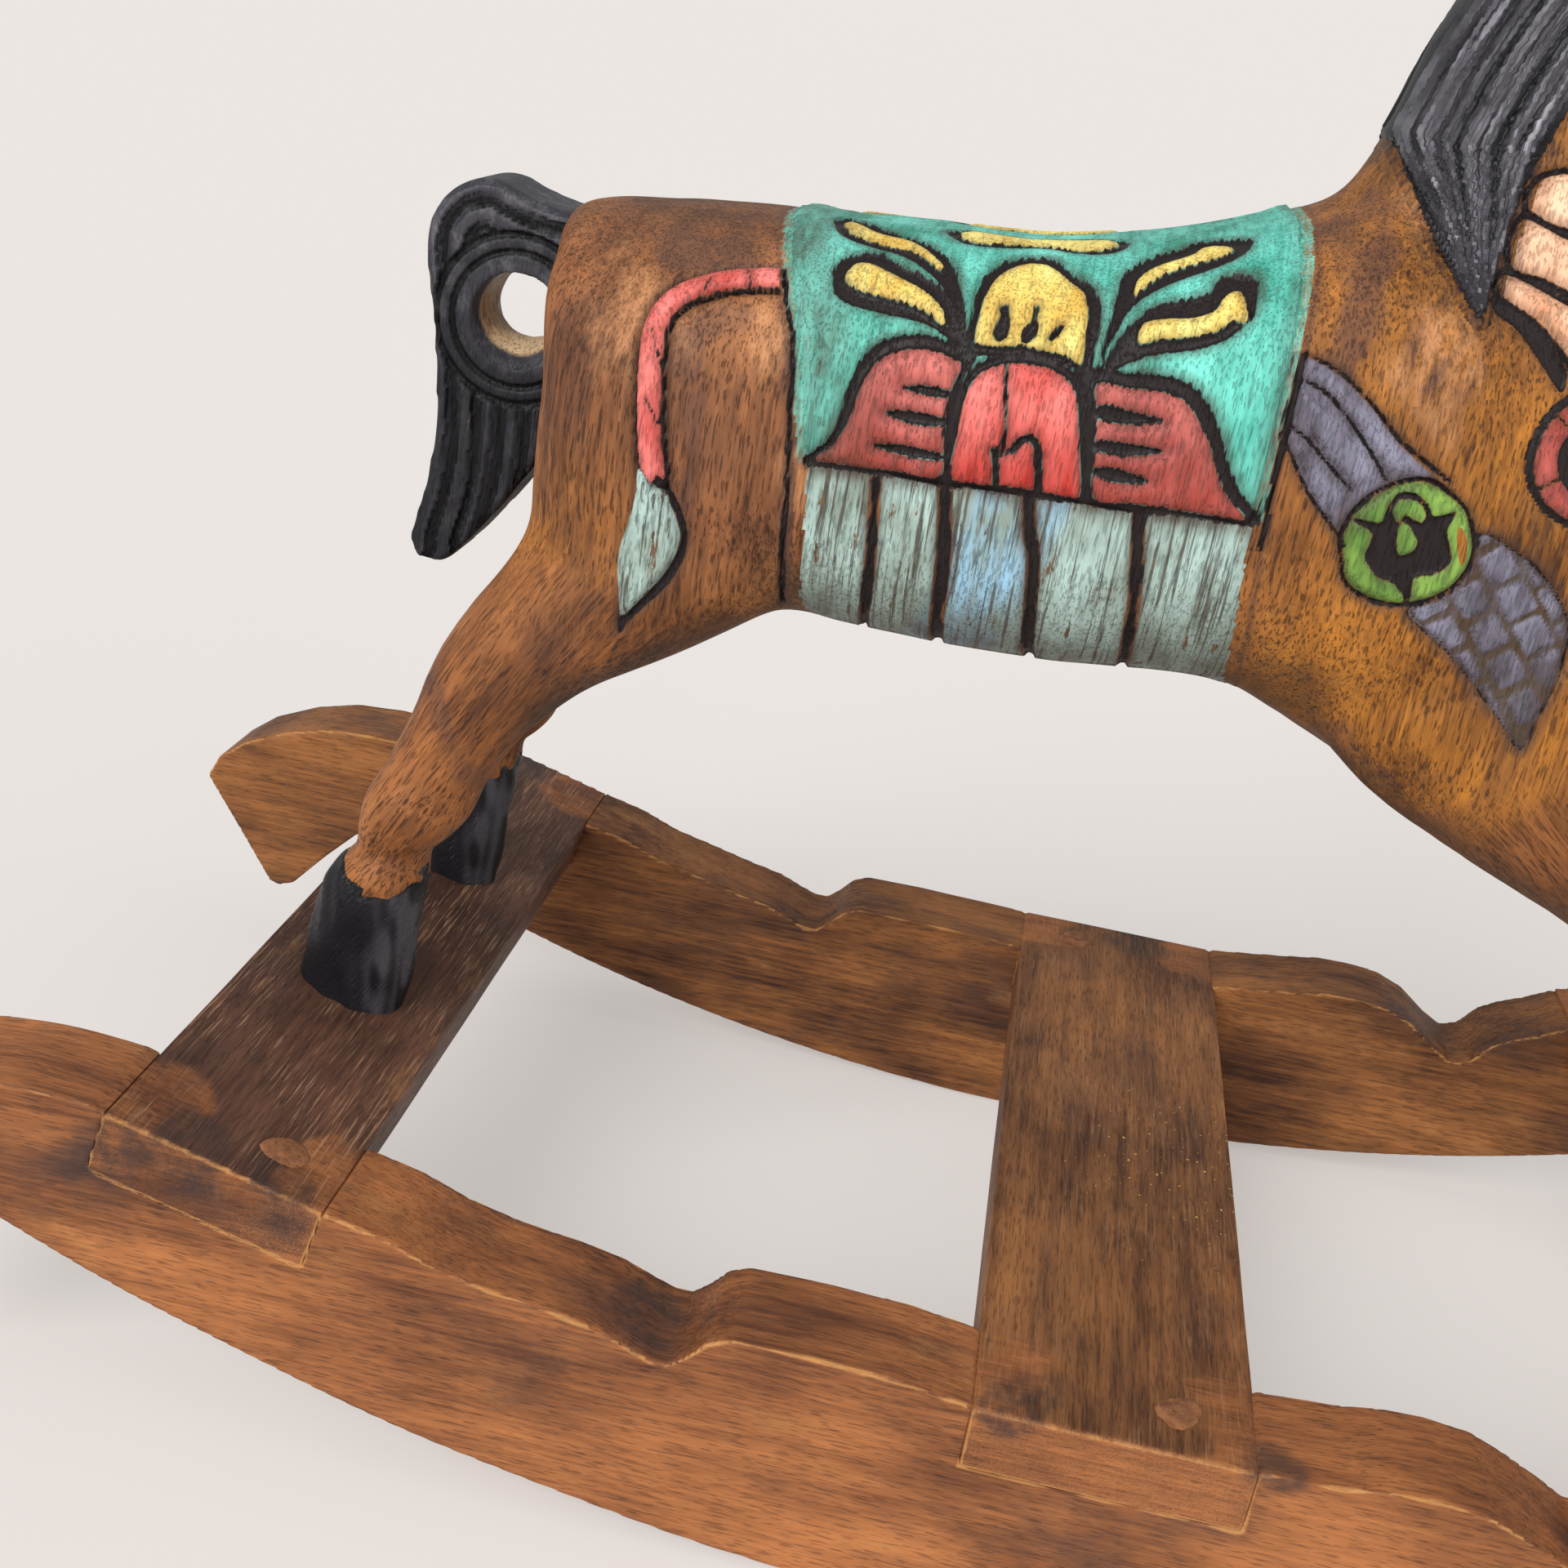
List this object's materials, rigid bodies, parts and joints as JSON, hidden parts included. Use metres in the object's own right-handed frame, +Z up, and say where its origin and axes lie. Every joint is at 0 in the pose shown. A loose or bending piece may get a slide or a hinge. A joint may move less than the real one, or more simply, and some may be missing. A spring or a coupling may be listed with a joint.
{
  "type": "rocking horse",
  "caption": "Small carved wooden rocking horse with painted saddle blanket, standing on cross slats between two bow rockers.",
  "frame": {"origin": "on the floor under the rockers' lowest points, midway between the rocker ends and between the two rockers", "axes": "+X toward the horse's head along the rockers, +Y to the horse's left, +Z up"},
  "size_m": [0.454, 0.2, 0.3418],
  "materials": {
    "rocker_wood": "stained, waxed",
    "slat_wood": "stained, waxed",
    "body_wood": "stained wood with carved and painted saddle blanket",
    "neck_wood": "stained wood with carved black painted mane",
    "leg_wood": "stained wood with black painted hooves",
    "black_paint": "worn black paint on carved wood",
    "dowel_wood": "bare",
    "plug_wood": "filler and stain",
    "screw_steel": "plain"
  },
  "bodies": {
    "root": {"rocker_right": "rocker_wood", "rocker_left": "rocker_wood", "slat_rear": "slat_wood", "slat_middle": "slat_wood", "slat_front": "slat_wood", "body_block": "body_wood", "neck_head_block": "neck_wood", "tail": "black_paint", "leg_rear_right": "leg_wood", "leg_rear_left": "leg_wood", "leg_front_right": "leg_wood", "leg_front_left": "leg_wood", "dowel_rear_right": "dowel_wood", "dowel_rear_left": "dowel_wood", "dowel_front_right": "dowel_wood", "dowel_front_left": "dowel_wood", "dowel_neck_right": "dowel_wood", "dowel_neck_left": "dowel_wood", "dowel_tail": "dowel_wood", "hoof_screw_rear_right": "screw_steel", "hoof_screw_rear_left": "screw_steel", "hoof_screw_front_right": "screw_steel", "hoof_screw_front_left": "screw_steel", "lap_screw_rear_right": "screw_steel", "lap_screw_rear_left": "screw_steel", "lap_screw_middle_right": "screw_steel", "lap_screw_middle_left": "screw_steel", "lap_screw_front_right": "screw_steel", "lap_screw_front_left": "screw_steel", "plug_rear_right": "plug_wood", "plug_rear_left": "plug_wood", "plug_middle_right": "plug_wood", "plug_middle_left": "plug_wood", "plug_front_right": "plug_wood", "plug_front_left": "plug_wood"}
  },
  "joints": []
}
